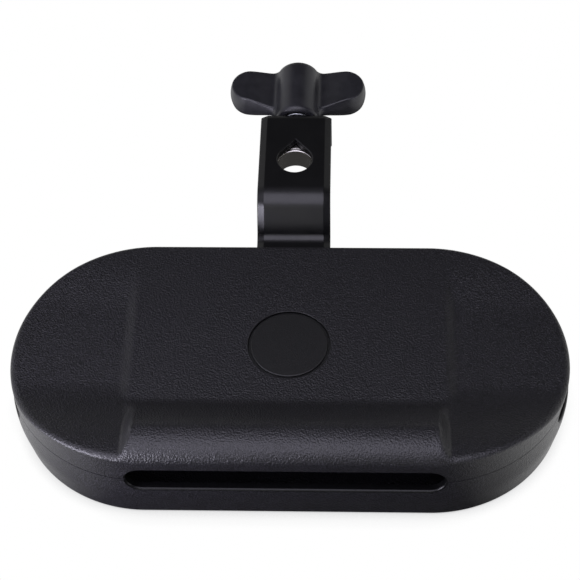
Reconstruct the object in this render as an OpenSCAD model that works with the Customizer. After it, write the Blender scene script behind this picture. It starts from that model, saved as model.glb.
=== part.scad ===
// Mounted block: a hollow moulded percussion block that clamps to an upright rod.
// Millimetres. X runs along the block, Y points back to the rod clamp, Z is up.
// The origin is the centre of the flat base. The long slot and the ridge face -Y.

/* [Body] */
// Length of the body over its round ends
body_l = 210; // [180:1:240]
// Width of the body, which is also the diameter of its round ends
body_w = 105; // [95:1:120]
// Height of the flat middle of the playing surface
top_z = 29.5; // [28.5:0.1:34]
// Thickness of the moulded walls
wall = 3; // [2.4:0.1:3.2]
// Height at which the two shells meet
seam_z = 24.6; // [23.6:0.1:24.8]
// How far the foot of the wall stands in from the widest line
base_inset = 2.3; // [0:0.1:4]
// Radius of the bottom edge
base_round = 3; // [2:0.1:4]
// Height of the widest line of the lower wall
widest_z = 12; // [8:0.5:16]
// How far the wall stands in at the seam
seam_inset = 0.4; // [0:0.1:1]
// How far the wall stands in at the top
top_inset = 0.9; // [0:0.1:2]
// Depth of the fine groove along the seam
seam_groove = 0.35; // [0.1:0.05:0.6]

/* [Playing surface] */
// Rise of the ridge over the flat middle
ridge_rise = 12; // [8:0.5:15]
// Rounding of the ridge towards the front wall
ridge_round = 10.4; // [6:0.1:11]
// Length of the slope, from the flat up to the crest of the ridge
climb_l = 21.2; // [16:0.1:26]
// Distance of the crest inside the front wall
crest_in = 11.3; // [8:0.1:13]
// How far the round ends lie below the flat middle
end_drop = 1.2; // [0.6:0.1:2]
// Rise of the round ends at their front edge
end_rise = 8; // [5:0.5:9]
// Half length of the raised middle
middle_half_l = 57; // [48:0.5:64]
// Length over which the middle runs out into the ends
middle_blend = 7; // [4:0.5:12]
// Rounding of the top edge at the ends and the back
edge_round = 2.6; // [1.5:0.1:3.5]

/* [Slots] */
// Length of the long slot in the front wall
slot_l = 115; // [90:1:130]
// Height of the long slot
slot_h = 13.2; // [8:0.1:15]
// Length of the short slot in each round end
end_slot_l = 45; // [30:1:50]
// Height of the short slots
end_slot_h = 9; // [6:0.1:10]

/* [Badge] */
// Diameter of the round recess in the playing surface
badge_d = 30.8; // [20:0.1:34]
// Depth of the recess
badge_depth = 1.5; // [0.8:0.1:1.6]
// Width of the ring groove that shows round the disc
badge_groove = 0.9; // [0.4:0.1:2]
// Depth of that groove
badge_groove_depth = 0.9; // [0.3:0.1:1.2]
// Distance of the disc from the centre line
badge_y = 4.9; // [0:0.1:10]

/* [Bracket] */
// Thickness of the steel strap
strap_t = 3; // [2.5:0.1:3.2]
// Width of the strap at its foot
strap_foot_w = 29.2; // [26:0.1:32]
// Width of the strap at its far end
strap_end_w = 28.5; // [26:0.1:32]
// Rounding of the outer long edges of the strap
strap_edge = 2; // [1:0.1:2.2]
// Height of the top of the foot
foot_top = 21.4; // [20:0.1:21.6]
// Length of the foot from inside the body to the first bend
foot_l = 28.3; // [27:0.1:30]
// Distance from the rear wall to the first bend
foot_out = 6.7; // [5:0.1:10]
// Height of the top of the hole plate
plate_top = 36.7; // [36:0.1:42]
// Length of the hole plate between its bends
plate_l = 34.8; // [34:0.1:38]
// Slope of the riser
riser_deg = 58; // [50:1:72]
// Inner radius of the first bend
foot_bend_r = 5.7; // [2:0.1:6.5]
// Outer radius of the bend between riser and plate
plate_bend_r = 9.8; // [5:0.1:10.5]
// Outer radius of the bend behind the plate
flange_bend_r = 5; // [4:0.1:5.4]
// Height of the flange behind the plate
flange_h = 18.5; // [17:0.1:20]
// Diameter of the round part of the rod hole
rod_hole_d = 13.7; // [13:0.1:13.8]
// Full angle of the pointed end of the rod hole
rod_notch_deg = 82; // [76:1:100]
// Distance from the plate's first bend to the rod hole
rod_hole_from_bend = 13.8; // [13:0.1:16]

/* [Eye bolt] */
// Bore of the eye
eye_bore_d = 14; // [13.9:0.1:15]
// Width of the eye's ring, measured along a radius
eye_band = 4.8; // [3.5:0.1:5.5]
// Height of the eye
eye_h = 9.2; // [7:0.1:9.4]
// Rounding of the eye's edges
eye_round = 1.6; // [0.6:0.1:2]
// Thread diameter of the shank
shank_d = 8; // [6:0.1:8]
// Travel of the eye towards the pointed end of the rod hole
clamp_travel = 5.25; // [3:0.25:5.5]

/* [Wing nut] */
// Span over the wings
wing_span = 56.2; // [52:0.1:57]
// Diameter of the boss between the wings
boss_d = 18; // [17.5:0.1:20]
// Length of the boss
boss_l = 28.2; // [26:0.1:30]
// Radius of the round wing tips
wing_tip_r = 9; // [7:0.1:9.4]
// Thickness of the wings at their tips
wing_tip_t = 10.6; // [8:0.1:12]
// Thickness of the wings where they meet the boss
wing_root_t = 5; // [4:0.1:7]
// Diameter of the mouth that the washer lies in
mouth_d = 14; // [13.4:0.1:14.6]
// Width across the flats of the threaded insert
insert_af = 12; // [11:0.1:12.6]
// Length of the threaded insert
insert_l = 8; // [6:0.1:9]
// Diameter of the steel washer on the flange
washer_d = 12; // [11:0.1:12.6]
// Thickness of that washer
washer_t = 1.2; // [0.8:0.1:1.6]

/* [Fasteners] */
// Thread diameter of the bracket screws
bracket_screw_d = 5; // [4:0.1:5]
// Distance between the two bracket screws
bracket_screw_gap = 16; // [15:0.1:17]
// Distance of the bracket screws inside the rear wall
bracket_screw_in = 11.5; // [11:0.1:12.5]
// Diameter of the bracket screws' heads
bracket_head_d = 9.5; // [8:0.1:10]
// Height of the bracket screws' heads
bracket_head_h = 3; // [2:0.1:3.5]
// Width across the flats of the bracket nuts
bracket_nut_af = 8; // [7:0.1:8.4]
// Height of the bracket nuts
bracket_nut_h = 3.2; // [2.6:0.1:3.3]
// Thickness of the washers under the nuts
bracket_washer_t = 0.8; // [0.5:0.1:0.9]
// Thread diameter of the shell screws
shell_screw_d = 3.5; // [3:0.1:4]
// Diameter of the shell screws' heads
shell_head_d = 7; // [5.5:0.1:7.5]
// Height of the shell screws' heads
shell_head_h = 2.5; // [1.8:0.1:3]
// Distance of the shell screws inside the ends of the body
shell_screw_in_x = 35; // [32:0.5:38]
// Distance of the shell screws inside the long walls
shell_screw_in_y = 21.5; // [20:0.5:24]
// Height at which the screw posts of the two shells meet
post_split_z = 9; // [8:0.5:12]
// Diameter of the screw posts
post_d = 9; // [8:0.1:10]

/* [Clearances] */
// Clearance round the screws in their holes
screw_clear = 0.2; // [0.1:0.05:0.3]
// Running clearance of the threaded shank in its insert, along a radius
thread_clear = 0.05; // [0.02:0.01:0.09]
// Clearance of the shank in the flange and its washer, along a radius
shank_clear = 0.3; // [0.2:0.05:0.4]
// Clearance of the strap in the window of the rear wall
window_clear = 0.15; // [0.1:0.05:0.3]
// Gap between the grip and the flange, and between the insert and the washer
nut_gap = 0.35; // [0.2:0.05:0.5]
// Gap between the eye and the plate above it
eye_gap = 0.4; // [0.2:0.1:0.8]
// Gap round the badge disc
badge_clear = 0.1; // [0.05:0.05:0.2]

/* [Hidden] */
SHELL_SCREWS = [for (i = [1:4]) str("shell_screw_", i)];
BRACKET_SCREWS = [for (i = [1:2]) str("bracket_screw_", i)];
BRACKET_WASHERS = [for (i = [1:2]) str("bracket_washer_", i)];
BRACKET_NUTS = [for (i = [1:2]) str("bracket_nut_", i)];

black_abs = "#26262a";
smooth_abs = "#222225";
coated_steel = "#1b1b1e";
bright_steel = "#b9bcc0";
grip_black = "#242427";

$fn = 72;
over = 1;

half_l = body_l / 2;
end_r = body_w / 2;
straight_l = half_l - end_r;
crest_y = end_r - crest_in;
climb_start = crest_y - climb_l;
foot_end_y = end_r + foot_out;
bracket_screw_y = end_r - bracket_screw_in;
shell_screw_x = half_l - shell_screw_in_x;
shell_screw_y = end_r - shell_screw_in_y;

// Smooth step from 0 to 1
function clamp01(u) = max(0, min(1, u));
function smooth(u) = let (v = clamp01(u)) v * v * (3 - 2 * v);

// The climb from the flat to the crest: a short hollow start, a straight slope, a round end
climb_in_share = 0.15;
climb_out_share = 0.75;
climb_gain = 1 / (climb_out_share - climb_in_share / 2 + (1 - climb_out_share) / 2);
function climb(u) =
    let (v = clamp01(u))
    v < climb_in_share ? climb_gain * v * v / (2 * climb_in_share)
    : v < climb_out_share ? climb_gain * (v - climb_in_share / 2)
    : 1 - climb_gain * (1 - v) * (1 - v) / (2 * (1 - climb_out_share));

// Height of the playing surface, without its rounded edge
function in_end(x) = smooth((abs(x) - middle_half_l + middle_blend / 2) / middle_blend);
function surface_z(x, y) =
    let (e = in_end(x), up = climb((-y - climb_start) / (crest_y - climb_start)))
    top_z - end_drop * e + up * (ridge_rise + (end_drop + end_rise - ridge_rise) * e);

// Rounding of the top edge at an outline point
function edge_r(x, y) =
    y < 0 ? edge_round + (ridge_round - edge_round) * (1 - in_end(x)) : edge_round;

// One half of the outline, from the left tip along the front to the right tip, as [centre x, angle]
arc_steps = 14;
straight_steps = 18;
half_outline = concat(
    [for (i = [0:arc_steps - 1]) [-straight_l, 180 + 90 * i / arc_steps]],
    [for (i = [0:straight_steps]) [straight_l * (2 * i / straight_steps - 1), 270]],
    [for (i = [1:arc_steps]) [straight_l, 270 + 90 * i / arc_steps]]);
half_n = len(half_outline);
function mirrored(p) = [p[0], 360 - p[1]];
outline = concat(half_outline, [for (i = [half_n - 2:-1:1]) mirrored(half_outline[i])]);
ring_n = len(outline);
function inset_point(p, s) = [p[0] + (end_r - s) * cos(p[1]), (end_r - s) * sin(p[1])];

// A ring that rounds the top edge: a runs from 0 on the wall to 90 on the surface
function round_ring(a, skin) = [for (p = outline)
    let (
        foot = inset_point(p, top_inset),
        r = edge_r(foot[0], foot[1]) - skin * edge_inner_share,
        q = inset_point(p, top_inset + skin + r * (1 - cos(a))))
    [q[0], q[1], surface_z(q[0], q[1]) - skin - r * (1 - sin(a))]];

// A ring on the surface: t runs from 0 at the rounded edge to 1 at the innermost ring
function surface_ring(t, skin) = [for (p = outline)
    let (
        foot = inset_point(p, top_inset),
        s = top_inset + skin + edge_r(foot[0], foot[1]) - skin * edge_inner_share,
        q = inset_point(p, s + (end_r - inner_ring_r - s) * t))
    [q[0], q[1], surface_z(q[0], q[1]) - skin]];

function level_ring(z, s) = [for (p = outline) let (q = inset_point(p, s)) [q[0], q[1], z]];

// The inner corner is tighter than the outer edge by this share of the wall
edge_inner_share = 0.6;
inner_ring_r = 8;
outer_angles = [0, 22.5, 45, 67.5];
inner_angles = [0, 45];
outer_shares = [0, 0.07, 0.15, 0.24, 0.34, 0.45, 0.57, 0.7, 0.85, 1];
inner_shares = [0, 0.12, 0.28, 0.45, 0.7, 1];

shell_rings = concat(
    [for (i = [len(inner_shares) - 1:-1:0]) surface_ring(inner_shares[i], wall)],
    [for (i = [len(inner_angles) - 1:-1:0]) round_ring(inner_angles[i], wall)],
    [level_ring(seam_z, seam_inset + wall)],
    [level_ring(seam_z, seam_inset + seam_groove)],
    [level_ring(seam_z + seam_groove, seam_inset)],
    [for (a = outer_angles) round_ring(a, 0)],
    [for (t = outer_shares) surface_ring(t, 0)]);

// A closed skin through the rings, with a strip across the first and the last
module ring_skin(rings) {
    n = ring_n;
    last = (len(rings) - 1) * n;
    side = [for (k = [0:len(rings) - 2]) for (i = [0:n - 1])
        let (j = (i + 1) % n)
        each [[k * n + i, (k + 1) * n + i, (k + 1) * n + j], [k * n + i, (k + 1) * n + j, k * n + j]]];
    function strip(o) = concat(
        [[o, o + 1, o + n - 1]],
        [for (i = [1:half_n - 3])
            each [[o + i, o + i + 1, o + n - i - 1], [o + i, o + n - i - 1, o + n - i]]],
        [[o + half_n - 2, o + half_n - 1, o + half_n]]);
    function flip(faces) = [for (f = faces) [f[2], f[1], f[0]]];
    polyhedron(points = [for (r = rings) each r], faces = concat(side, strip(0), flip(strip(last))));
}

// A slot with round ends, cut along +Y from the origin, centred on X and Z
module slot_cut(l, h, depth) {
    rotate([-90, 0, 0])
        linear_extrude(depth) {
            square([l - h, h], center = true);
            for (s = [-1, 1])
                translate([s * (l - h) / 2, 0])
                    circle(d = h);
        }
}

slot_z = seam_z;
end_slot_z = seam_z - end_slot_h / 3;
slot_depth = wall + ridge_round;
module wall_slots() {
    translate([0, -end_r - over, slot_z])
        slot_cut(slot_l, slot_h, slot_depth);
    for (s = [-1, 1])
        rotate([0, 0, s * 90])
            translate([0, -half_l - over, end_slot_z])
                slot_cut(end_slot_l, end_slot_h, slot_depth);
}

// Places of the screws
shell_places = [for (sx = [-1, 1]) for (sy = [-1, 1]) [sx * shell_screw_x, sy * shell_screw_y]];
bracket_places = [for (s = [-1, 1]) [s * bracket_screw_gap / 2, bracket_screw_y]];

// The heads lie this far above the base
head_sink = 0.5;
// The pilot holes of the shell screws end this far below the seam
pilot_stop = 2;
pilot_top = seam_z - pilot_stop;
// The posts end inside the roof, at this share of the wall below the surface
post_roof_share = 0.75;

module upper_shell() {
    color(black_abs)
        difference() {
            union() {
                ring_skin(shell_rings);
                for (p = shell_places) {
                    post_top = surface_z(p[0], p[1]) - wall * post_roof_share;
                    translate([p[0], p[1], post_split_z])
                        cylinder(d = post_d, h = post_top - post_split_z);
                }
            }
            wall_slots();
            translate([0, badge_y, top_z - badge_depth])
                cylinder(d = badge_d, h = badge_depth + over);
            for (p = shell_places)
                translate([p[0], p[1], post_split_z - over])
                    cylinder(d = shell_screw_d + 2 * thread_clear, h = pilot_top - post_split_z + over);
        }
}

// Section of the lower shell from the centre line out, r along X and z along Y
function lower_section(half_w) = concat(
    [[0, 0]],
    [for (a = [0:15:90])
        [half_w - base_inset - base_round + base_round * sin(a), base_round - base_round * cos(a)]],
    [[half_w, widest_z],
     [half_w - seam_inset, seam_z - seam_groove],
     [half_w - seam_inset - seam_groove, seam_z],
     [half_w - seam_inset - wall, seam_z],
     [half_w - wall, widest_z],
     [half_w - base_inset - wall, wall + base_round / 2],
     [half_w - base_inset - wall - base_round / 2, wall],
     [0, wall]]);

module lower_shell() {
    color(black_abs)
        difference() {
            union() {
                for (s = [-1, 1])
                    translate([s * straight_l, 0, 0])
                        rotate([0, 0, -s * 90])
                            rotate_extrude(angle = 180)
                                polygon(lower_section(end_r));
                for (s = [-1, 1])
                    translate([-straight_l, 0, 0])
                        rotate([90, 0, 90])
                            linear_extrude(2 * straight_l)
                                scale([s, 1])
                                    polygon(lower_section(end_r));
                for (p = shell_places)
                    translate([p[0], p[1], wall / 2])
                        cylinder(d = post_d, h = post_split_z - wall / 2);
                for (p = bracket_places)
                    translate([p[0], p[1], wall / 2])
                        cylinder(d = bracket_post_d, h = foot_top - strap_t - wall / 2);
            }
            wall_slots();
            for (p = shell_places)
                translate([p[0], p[1], -over])
                    screw_pocket(shell_screw_d, shell_head_d, shell_head_h, post_split_z);
            for (p = bracket_places)
                translate([p[0], p[1], -over])
                    screw_pocket(bracket_screw_d, bracket_head_d, bracket_head_h, foot_top);
            strap_window();
        }
}

bracket_post_d = bracket_head_d + wall / 2;

// A clearance hole with a round pocket for the head, from one overrun below the base
module screw_pocket(d, head_d, head_h, h) {
    cylinder(d = d + 2 * screw_clear, h = h + 2 * over);
    cylinder(d = head_d + 2 * screw_clear, h = over + head_sink + head_h);
}

// The window in the rear wall that the foot passes through
module strap_window() {
    w = strap_foot_w + 2 * window_clear;
    h = strap_t + 2 * window_clear;
    translate([-w / 2, end_r - 2 * wall, foot_top - strap_t - window_clear])
        cube([w, 2 * wall + over, h]);
}

// A plain disc, let into the playing surface, with a ring groove round it
module badge() {
    color(smooth_abs)
        translate([0, badge_y, top_z - badge_depth])
            rotate_extrude()
                polygon([
                    [0, 0],
                    [badge_d / 2 - badge_clear, 0],
                    [badge_d / 2 - badge_clear, badge_depth - badge_groove_depth],
                    [badge_d / 2 - badge_groove, badge_depth - badge_groove_depth],
                    [badge_d / 2 - badge_groove, badge_depth - badge_groove_depth / 4],
                    [badge_d / 2 - badge_groove - badge_groove_depth / 4, badge_depth],
                    [0, badge_depth]]);
}

// The strap's centre line: pairs of a straight length, then a bend as [angle, centre-line radius]
foot_bend_c = foot_bend_r + strap_t / 2;
plate_bend_c = plate_bend_r - strap_t / 2;
flange_bend_c = flange_bend_r - strap_t / 2;
bends_rise = (foot_bend_c + plate_bend_c) * (1 - cos(riser_deg));
bends_run = (foot_bend_c + plate_bend_c) * sin(riser_deg);
riser_l = (plate_top - foot_top - bends_rise) / sin(riser_deg);
plate_start_y = foot_end_y + bends_run + riser_l * cos(riser_deg);
flange_l = flange_h - flange_bend_r;
strap_legs = [foot_l, riser_l, plate_l, flange_l];
strap_bends = [[riser_deg, foot_bend_c], [-riser_deg, plate_bend_c], [-90, flange_bend_c]];
bend_steps = 6;

// Stations along the centre line as [y, z, heading, distance run]
function leg_end(s, l) = [s[0] + l * cos(s[2]), s[1] + l * sin(s[2]), s[2], s[3] + l];
function bend_at(s, b, t) =
    let (turn = sign(b[0]), a = b[0] * t)
    [s[0] + turn * b[1] * (sin(s[2] + a) - sin(s[2])),
     s[1] - turn * b[1] * (cos(s[2] + a) - cos(s[2])),
     s[2] + a,
     s[3] + b[1] * abs(a) * PI / 180];
function stations(s, k = 0) =
    let (e = leg_end(s, strap_legs[k]))
    k == len(strap_bends) ? [s, e]
    : concat([s, e], [for (i = [1:bend_steps - 1]) bend_at(e, strap_bends[k], i / bend_steps)],
        stations(bend_at(e, strap_bends[k], 1), k + 1));
strap_start = [foot_end_y - foot_l, foot_top - strap_t / 2, 0, 0];
strap_line = stations(strap_start);
strap_run = strap_line[len(strap_line) - 1][3];

// Cross-section of the strap as [across, out], with well rounded outer edges
strap_inner_edge = strap_edge / 4;
function strap_section(w) = [
    [-w / 2 + strap_inner_edge, -strap_t / 2],
    [w / 2 - strap_inner_edge, -strap_t / 2],
    [w / 2, -strap_t / 2 + strap_inner_edge],
    for (a = [0:30:90])
        [w / 2 - strap_edge * (1 - cos(a)), strap_t / 2 - strap_edge * (1 - sin(a))],
    for (a = [90:-30:0])
        [-w / 2 + strap_edge * (1 - cos(a)), strap_t / 2 - strap_edge * (1 - sin(a))],
    [-w / 2, -strap_t / 2 + strap_inner_edge]];

module strap() {
    rows = [for (s = strap_line)
        let (w = strap_foot_w + (strap_end_w - strap_foot_w) * s[3] / strap_run)
        [for (q = strap_section(w)) [q[0], s[0] - q[1] * sin(s[2]), s[1] + q[1] * cos(s[2])]]];
    m = len(rows[0]);
    n = len(rows);
    polyhedron(
        points = [for (r = rows) each r],
        faces = concat(
            [[for (i = [m - 1:-1:0]) i]],
            [[for (i = [0:m - 1]) (n - 1) * m + i]],
            [for (k = [0:n - 2]) for (i = [0:m - 1])
                let (j = (i + 1) % m, a = k * m, b = (k + 1) * m)
                each [[a + i, a + j, b + j], [a + i, b + j, b + i]]]));
}

rod_y = plate_start_y + rod_hole_from_bend;
rod_r = rod_hole_d / 2;
notch_half = rod_notch_deg / 2;
bolt_z = plate_top - strap_t - eye_gap - eye_h / 2;
flange_back_y = plate_start_y + plate_l + flange_bend_r;

// The rod hole: round, with a pointed end towards the wing nut
module rod_hole() {
    cylinder(r = rod_r, h = strap_t + 2 * over);
    linear_extrude(strap_t + 2 * over)
        polygon([
            [0, 0],
            [rod_r * cos(notch_half), rod_r * sin(notch_half)],
            [0, rod_r / sin(notch_half)],
            [-rod_r * cos(notch_half), rod_r * sin(notch_half)]]);
}

module mounting_bracket() {
    color(coated_steel)
        difference() {
            strap();
            translate([0, rod_y, plate_top - strap_t - over])
                rod_hole();
            translate([0, flange_back_y - strap_t - over, bolt_z])
                rotate([-90, 0, 0])
                    cylinder(d = shank_d + 2 * shank_clear, h = strap_t + 2 * over);
            for (p = bracket_places)
                translate([p[0], p[1], foot_top - strap_t - over])
                    cylinder(d = bracket_screw_d + 2 * screw_clear, h = strap_t + 2 * over);
        }
}

// The grip's front face, the depth of its mouth round the washer, and the shank's end at rest
nut_y = flange_back_y + nut_gap;
mouth_depth = washer_t;
shank_end_y = nut_y + mouth_depth + insert_l;
shank_tip = 1;

module eye_bolt() {
    bore_r = eye_bore_d / 2;
    root = bore_r + eye_band / 2;
    tip = shank_end_y - shank_tip - rod_y;
    color(bright_steel)
        translate([0, rod_y, bolt_z]) {
            rotate_extrude()
                translate([bore_r, 0])
                    eye_section();
            rotate([-90, 0, 0]) {
                translate([0, 0, root])
                    cylinder(d = shank_d, h = tip - root);
                translate([0, 0, tip])
                    cylinder(d1 = shank_d, d2 = shank_d - 2 * shank_tip, h = shank_tip);
            }
        }
}

// Section of the eye's ring, from its bore outwards
module eye_section() {
    r = eye_round;
    translate([0, r - eye_h / 2])
        square([eye_band, eye_h - 2 * r]);
    translate([r, -eye_h / 2])
        square([eye_band - 2 * r, eye_h]);
    for (x = [r, eye_band - r])
        for (y = [r - eye_h / 2, eye_h / 2 - r])
            translate([x, y])
                circle(r);
}

cavity_clear = 1;
cavity_end = mouth_depth + insert_l + clamp_travel + cavity_clear;
boss_round = 4;

// The plastic grip, made along +Z from its front face and turned to point back
module wing_grip() {
    color(grip_black)
        translate([0, nut_y, bolt_z])
            rotate([-90, 0, 0])
                difference() {
                    union() {
                        rotate_extrude()
                            boss_section();
                        for (s = [-1, 1])
                            wing(s);
                    }
                    translate([0, 0, -over])
                        cylinder(d = mouth_d, h = mouth_depth + over);
                    translate([0, 0, mouth_depth])
                        cylinder(d = insert_af / cos(30), h = insert_l, $fn = 6);
                    translate([0, 0, mouth_depth + insert_l])
                        cylinder(d = shank_d + 2 * shank_clear, h = cavity_end - mouth_depth - insert_l);
                }
}

// Half section of the boss: a straight side and a softly domed back
module boss_section() {
    r = boss_d / 2;
    front_r = boss_round / 4;
    polygon(concat(
        [[0, 0], [r - front_r, 0], [r, front_r]],
        [for (a = [0:15:90]) [r - boss_round * (1 - cos(a)), boss_l - boss_round * (1 - sin(a))]],
        [[0, boss_l]]));
}

wing_front = 8;
wing_root_in = 5;
wing_round = 2.2;

// One wing: thin at the boss, thicker at its round tip, with its front edge swept back
module wing(s) {
    hull() {
        translate([s * (wing_span / 2 - wing_tip_r), 0, wing_front + wing_tip_r])
            rotate([90, 0, 0])
                rotate_extrude($fn = 32)
                    puck_section(wing_tip_r, wing_tip_t, wing_round);
        for (z = [wing_root_t / 2 + wing_front / 2, boss_l - boss_round / 4 - wing_root_t / 2])
            translate([s * wing_root_in, 0, z])
                sphere(d = wing_root_t, $fn = 24);
    }
}

// Half section of a round puck with rounded rims
module puck_section(r, t, e) {
    polygon(concat(
        [[0, -t / 2]],
        [for (a = [0:30:90]) [r - e + e * sin(a), e - t / 2 - e * cos(a)]],
        [for (a = [90:-30:0]) [r - e + e * sin(a), t / 2 - e + e * cos(a)]],
        [[0, t / 2]]));
}

// The threaded insert, held by its flats in the grip
module wing_insert() {
    color(bright_steel)
        translate([0, nut_y + mouth_depth, bolt_z])
            rotate([-90, 0, 0])
                difference() {
                    cylinder(d = insert_af / cos(30), h = insert_l, $fn = 6);
                    translate([0, 0, -over])
                        cylinder(d = shank_d + 2 * thread_clear, h = insert_l + 2 * over);
                }
}

module flange_washer() {
    color(bright_steel)
        translate([0, flange_back_y, bolt_z])
            rotate([-90, 0, 0])
                difference() {
                    cylinder(d = washer_d, h = washer_t);
                    translate([0, 0, -over])
                        cylinder(d = shank_d + 2 * shank_clear, h = washer_t + 2 * over);
                }
}

// A pan-head screw that points up, with its head at the origin and a cross recess below
pan_shares = [[0, 0], [0.6, 0], [0.88, 0.2], [1, 0.6], [1, 1], [0, 1]];
recess_share = 0.5;
module pan_screw(d, head_d, head_h, l) {
    recess_w = head_d / 6;
    difference() {
        union() {
            rotate_extrude()
                polygon([for (q = pan_shares) [q[0] * head_d / 2, q[1] * head_h]]);
            cylinder(d = d, h = head_h + l - d / 4);
            translate([0, 0, head_h + l - d / 4])
                cylinder(d1 = d, d2 = d / 2, h = d / 4);
        }
        for (a = [0, 90])
            rotate([0, 0, a])
                translate([-head_d / 4, -recess_w / 2, -over])
                    cube([head_d / 2, recess_w, over + head_h * recess_share]);
    }
}

module shell_screw(i) {
    p = shell_places[i];
    color(bright_steel)
        translate([p[0], p[1], head_sink])
            pan_screw(shell_screw_d, shell_head_d, shell_head_h,
                pilot_top - head_sink - shell_head_h - over);
}

// Height of the bracket screws' tips: one washer, one nut and a short end above the foot
nut_seat_z = foot_top + bracket_washer_t;
screw_end = 0.4;

module bracket_screw(i) {
    p = bracket_places[i];
    color(bright_steel)
        translate([p[0], p[1], head_sink])
            pan_screw(bracket_screw_d, bracket_head_d, bracket_head_h,
                nut_seat_z + bracket_nut_h + screw_end - head_sink - bracket_head_h);
}

module bracket_washer(i) {
    p = bracket_places[i];
    color(bright_steel)
        translate([p[0], p[1], foot_top])
            difference() {
                cylinder(d = 2 * bracket_screw_d, h = bracket_washer_t);
                translate([0, 0, -over])
                    cylinder(d = bracket_screw_d + 2 * screw_clear, h = bracket_washer_t + 2 * over);
            }
}

module bracket_nut(i) {
    p = bracket_places[i];
    color(bright_steel)
        translate([p[0], p[1], nut_seat_z])
            difference() {
                cylinder(d = bracket_nut_af / cos(30), h = bracket_nut_h, $fn = 6);
                translate([0, 0, -over])
                    cylinder(d = bracket_screw_d + 2 * thread_clear, h = bracket_nut_h + 2 * over);
            }
}

upper_shell();
lower_shell();
badge();
mounting_bracket();
eye_bolt();
wing_grip();
wing_insert();
flange_washer();
for (i = [0:len(SHELL_SCREWS) - 1])
    shell_screw(i);
for (i = [0:len(BRACKET_SCREWS) - 1]) {
    bracket_screw(i);
    bracket_washer(i);
    bracket_nut(i);
}
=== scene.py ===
import math

import bmesh
import bpy
import numpy as np
from mathutils import Matrix, Vector


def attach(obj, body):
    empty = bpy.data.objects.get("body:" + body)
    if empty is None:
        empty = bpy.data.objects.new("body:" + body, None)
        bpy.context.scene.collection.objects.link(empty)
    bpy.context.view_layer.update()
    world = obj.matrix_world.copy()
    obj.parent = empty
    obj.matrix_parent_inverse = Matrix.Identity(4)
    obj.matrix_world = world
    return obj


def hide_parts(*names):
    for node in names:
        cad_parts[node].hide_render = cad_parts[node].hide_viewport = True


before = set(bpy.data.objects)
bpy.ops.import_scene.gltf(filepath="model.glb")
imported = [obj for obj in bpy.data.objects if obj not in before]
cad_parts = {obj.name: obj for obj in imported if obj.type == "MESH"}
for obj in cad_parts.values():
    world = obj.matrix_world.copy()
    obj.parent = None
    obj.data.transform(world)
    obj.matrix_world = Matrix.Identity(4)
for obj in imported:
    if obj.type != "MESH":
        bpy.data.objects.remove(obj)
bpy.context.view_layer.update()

# Sizes are in millimetres, in the frame of the CAD: X along the block, Y back to the clamp, Z up.
MM = 0.001

# The body
BODY_L = 210.0
BODY_W = 105.0
TOP_Z = 29.5
WALL = 3.0
SEAM_Z = 24.6
BASE_INSET = 1.8
BASE_ROUND = 2.0
WIDEST_Z = 13.0
SEAM_INSET = 0.3
TOP_INSET = 0.4
# The seam shows as a fine dark slit: half its height, and its depth
SEAM_SLIT = 0.16
SEAM_DEPTH = 0.7
# The lower wall turns gently through its widest line over this height each way
WIDEST_BLEND = 3.0
# Two more heights at which the lower wall has a ring of points
LOW_RING_Z = 5.0
HIGH_RING_Z = 20.0

# The playing surface
RIDGE_RISE = 12.0
RIDGE_ROUND = 10.4
CLIMB_L = 21.2
CREST_IN = 11.3
CLIMB_IN_SHARE = 0.15
CLIMB_OUT_SHARE = 0.75
END_DROP = 1.2
END_RISE = 8.0
# The ends climb earlier and more gently than the middle, and drop less towards the rear rim
END_START = 12.0
END_CREST = 50.0
DROP_FADE_Y = 20.0
DROP_FADE_L = 24.0
MIDDLE_HALF_L = 57.0
MIDDLE_BLEND = 5.0
# The raised middle is a little longer behind the ridge
MIDDLE_LONGER = 3.5
LONGER_START_Y = -28.0
LONGER_BLEND = 12.0
EDGE_ROUND = 2.6
REAR_EDGE_ROUND = 1.6
# A rounded edge is less tall than wide, and its inner side has a smaller radius
EDGE_HEIGHT_SHARE = 0.7
EDGE_INNER_SHARE = 0.6
# The rings of the surface stop at this half-width, and flat strips close what is left
INNER_RING_R = 8.0

# The sound slots
SLOT_L = 115.0
SLOT_H = 11.6
END_SLOT_L = 45.0
END_SLOT_H = 9.0
SLOT_LIP = 1.0
SLOT_TOOL_OUT = 3.0

# The badge
BADGE_D = 30.8
BADGE_DEPTH = 1.5
BADGE_GROOVE = 0.9
BADGE_GROOVE_DEPTH = 0.9
BADGE_Y = 4.9
BADGE_CLEAR = 0.1
BADGE_LIP = 0.3
BADGE_RIM = 0.45

# The strap
STRAP_T = 3.0
STRAP_FOOT_W = 29.2
STRAP_END_W = 28.5
STRAP_FACET = 2.7
STRAP_FACET_DEG = 22.0
STRAP_INNER_EDGE = 0.5
FOOT_TOP = 21.4
FOOT_L = 29.13
FOOT_OUT = 7.53
PLATE_TOP = 36.7
PLATE_L = 34.8
RISER_DEG = 58.0
FOOT_BEND_R = 4.2
PLATE_BEND_R = 9.8
FLANGE_BEND_R = 5.0
FLANGE_H = 18.5
ROD_HOLE_D = 13.7
ROD_NOTCH_DEG = 82.0
ROD_HOLE_FROM_BEND = 13.8
HOLE_LIP = 0.6

# The eye bolt
EYE_BORE_D = 14.0
EYE_BAND = 4.8
EYE_H = 9.2
EYE_ROUND = 1.6
EYE_GAP = 0.4
EYE_NECK = 2.4
SHANK_D = 8.0
SHANK_TIP = 1.0
THREAD_PITCH = 1.25
THREAD_DEPTH = 0.68
# The thread starts this far behind the ring, and is cut to its full depth over as much again
THREAD_START = 2.0
# The share of its height that a tooth loses at the crest, and again at the root
THREAD_FLAT_SHARE = 0.15

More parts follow.
